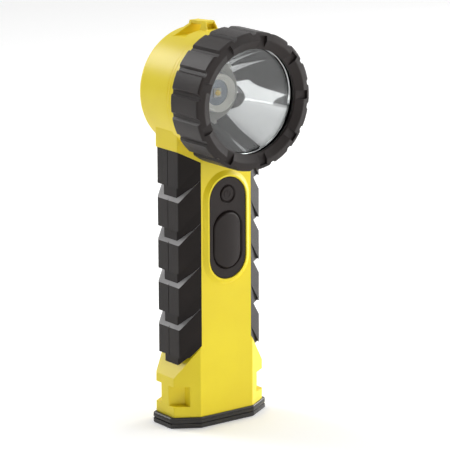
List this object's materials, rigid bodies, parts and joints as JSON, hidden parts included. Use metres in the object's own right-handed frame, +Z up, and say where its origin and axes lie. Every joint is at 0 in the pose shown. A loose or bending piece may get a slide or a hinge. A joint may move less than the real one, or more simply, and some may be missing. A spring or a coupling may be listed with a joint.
{
  "type": "firefighter flashlight",
  "caption": "Right-angle hand lamp with a yellow shell, toothed rubber side grips, a screw bezel over a parabolic reflector and two press switches.",
  "frame": {"origin": "centre of the base's bottom face", "axes": "+Z up along the body, -Y is the way the lamp shines, +X is to the right for a viewer who faces the lens"},
  "size_m": [0.073, 0.0596, 0.2163],
  "materials": {
    "yellow_shell": "satin moulded, fine texture",
    "grip_rubber": "matt, fine texture",
    "bezel_rubber": "matt, fine texture",
    "base_plastic": "satin",
    "switch_rubber": "matt silicone",
    "lens_clear": "polished",
    "reflector_chrome": "vacuum plated",
    "white_plastic": "satin",
    "seal_rubber": "matt",
    "aluminium_board": "satin",
    "ceramic": "matt",
    "phosphor": "gloss silicone",
    "heat_sink_aluminium": "machined",
    "steel": "plated",
    "circuit_board": "solder mask",
    "component_black": "moulded",
    "carrier_plastic": "moulded",
    "contact_metal": "nickel plated",
    "cell_can": "printed sleeve over a can",
    "wire_insulation": "extruded"
  },
  "bodies": {
    "lamp": {"housing": "yellow_shell", "grip_left": "grip_rubber", "grip_right": "grip_rubber", "base_cap": "base_plastic", "base_gasket": "seal_rubber", "base_screws": "steel", "head_o_ring": "seal_rubber", "reflector": "reflector_chrome", "led_holder": "white_plastic", "led_board": "aluminium_board", "led_emitter": "ceramic", "led_dome": "phosphor", "led_leads": "wire_insulation", "heat_sink": "heat_sink_aluminium", "heat_sink_screws": "steel", "driver_board": "circuit_board", "driver_parts": "component_black", "switch_boot": "switch_rubber", "switch_carrier": "carrier_plastic", "carrier_screws": "steel", "power_switch": "component_black", "pad_switch": "component_black", "switch_board": "circuit_board", "battery_carrier": "carrier_plastic", "bottom_bridge": "contact_metal", "top_terminals": "contact_metal", "contact_springs": "contact_metal", "battery_leads": "wire_insulation", "switch_lead": "wire_insulation", "cell_lower_left": "cell_can", "cell_upper_left": "cell_can", "cell_lower_right": "cell_can", "cell_upper_right": "cell_can"},
    "lens_unit": {"lens": "lens_clear", "lens_gasket": "seal_rubber"},
    "bezel": {"bezel": "bezel_rubber"},
    "power_button": {"power_button": "switch_rubber"},
    "mode_pad": {"mode_pad": "switch_rubber"}
  },
  "joints": [
    {"name": "lens_advance", "type": "slide", "parent": "lamp", "child": "lens_unit", "axis": [0, -1, 0], "range_m": [0, 0.00961]},
    {"name": "bezel_turn", "type": "hinge", "parent": "lens_unit", "child": "bezel", "pos_m": [0, -0.028, 0.1791], "axis": [0, -1, 0], "range_deg": [0, 1080]},
    {"name": "power_press", "type": "slide", "parent": "lamp", "child": "power_button", "axis": [0, 1, 0], "range_m": [0, 0.001], "stiffness_N_per_m": 2200, "springref_m": -0.0002},
    {"name": "pad_press", "type": "slide", "parent": "lamp", "child": "mode_pad", "axis": [0, 1, 0], "range_m": [0, 0.0015], "stiffness_N_per_m": 2400, "springref_m": -0.0002}
  ],
  "couplings": [
    {"joint": "lens_advance", "follows": "bezel_turn", "m_per_rad": 0.0005093}
  ]
}
